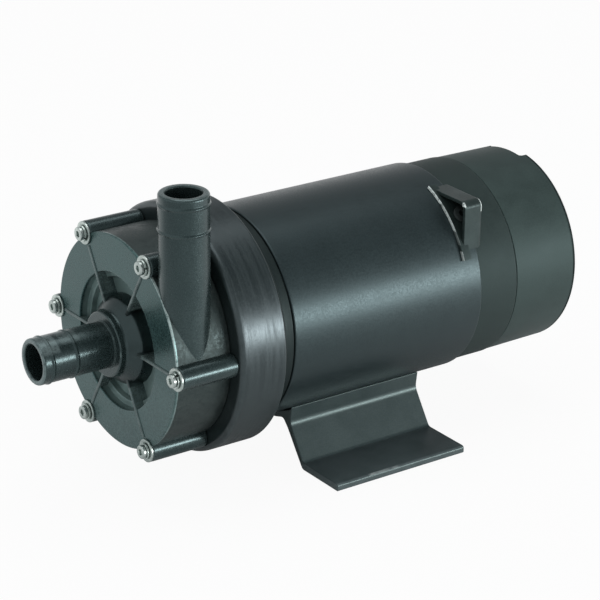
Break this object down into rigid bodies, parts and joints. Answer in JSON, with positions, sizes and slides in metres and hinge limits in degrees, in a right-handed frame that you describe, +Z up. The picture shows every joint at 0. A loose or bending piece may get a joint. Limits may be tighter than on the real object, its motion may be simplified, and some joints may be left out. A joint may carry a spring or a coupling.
{
  "type": "magnetic drive pump",
  "caption": "Sealed centrifugal pump head with hose nozzles on a round black electric motor, carried by a moulded foot.",
  "frame": {"origin": "centre of the plane that the foot stands on, under the shaft line and half way along the pump", "axes": "+X along the shaft from the suction nozzle to the fan cover, +Y to the side away from the discharge nozzle, +Z up"},
  "size_m": [0.3162, 0.148, 0.175],
  "materials": {
    "head_plastic": "semi-gloss black moulding with a slight green-grey tone",
    "inner_plastic": "dark grey glass-filled moulding",
    "cast_paint": "satin black paint on a turned aluminium casting",
    "shell_paint": "satin black paint on a rolled steel shell, fine grain",
    "rear_plastic": "matte black moulding",
    "stainless": "bright stainless steel",
    "zinc_steel": "zinc-plated or ground steel",
    "core_steel": "stacked electrical steel",
    "copper_wire": "varnished copper wire",
    "ferrite": "dark grey sintered magnet",
    "ceramic": "ivory polished ceramic",
    "carbon": "black carbon",
    "rubber": "matte black rubber"
  },
  "bodies": {
    "housing": {"bracket": "cast_paint", "bracket_screw_1": "zinc_steel", "bracket_screw_2": "zinc_steel", "bracket_screw_3": "zinc_steel", "bracket_screw_4": "zinc_steel", "cable_grommet": "rubber", "cable_hood": "rear_plastic", "casing_o_ring": "rubber", "cover_screw_1": "stainless", "cover_screw_2": "stainless", "cover_screw_3": "stainless", "cover_screw_4": "stainless", "cover_screw_5": "stainless", "cover_screw_6": "stainless", "flat_washer_1": "stainless", "flat_washer_2": "stainless", "flat_washer_3": "stainless", "flat_washer_4": "stainless", "flat_washer_5": "stainless", "flat_washer_6": "stainless", "foot": "rear_plastic", "foot_screw_1": "zinc_steel", "foot_screw_2": "zinc_steel", "foot_screw_3": "zinc_steel", "foot_screw_4": "zinc_steel", "front_bearing": "zinc_steel", "front_casing": "head_plastic", "front_shield": "cast_paint", "front_thrust_ring": "ceramic", "front_winding": "copper_wire", "motor_shell": "shell_paint", "mouth_ring": "ceramic", "pump_spindle": "ceramic", "rear_bearing": "zinc_steel", "rear_casing": "inner_plastic", "rear_cover": "rear_plastic", "rear_cover_screw_1": "zinc_steel", "rear_cover_screw_2": "zinc_steel", "rear_cover_screw_3": "zinc_steel", "rear_shield": "rear_plastic", "rear_thrust_ring": "ceramic", "rear_winding": "copper_wire", "spring_washer_1": "stainless", "spring_washer_2": "stainless", "spring_washer_3": "stainless", "spring_washer_4": "stainless", "spring_washer_5": "stainless", "spring_washer_6": "stainless", "stator_core": "core_steel", "wave_washer": "stainless"},
    "motor_rotor": {"motor_shaft": "zinc_steel", "rotor_core": "core_steel", "cooling_fan": "inner_plastic", "drive_magnet_yoke": "zinc_steel", "drive_magnet": "ferrite", "yoke_set_screw": "stainless"},
    "impeller_unit": {"impeller": "inner_plastic", "impeller_bush": "carbon", "driven_magnet": "ferrite"}
  },
  "joints": [
    {"name": "rotor_spin", "type": "hinge", "parent": "housing", "child": "motor_rotor", "pos_m": [0, 0, 0.082], "axis": [-1, 0, 0], "continuous": true},
    {"name": "impeller_spin", "type": "hinge", "parent": "housing", "child": "impeller_unit", "pos_m": [0, 0, 0.082], "axis": [-1, 0, 0], "continuous": true}
  ],
  "couplings": [
    {"joint": "impeller_spin", "follows": "rotor_spin", "ratio": 1}
  ]
}
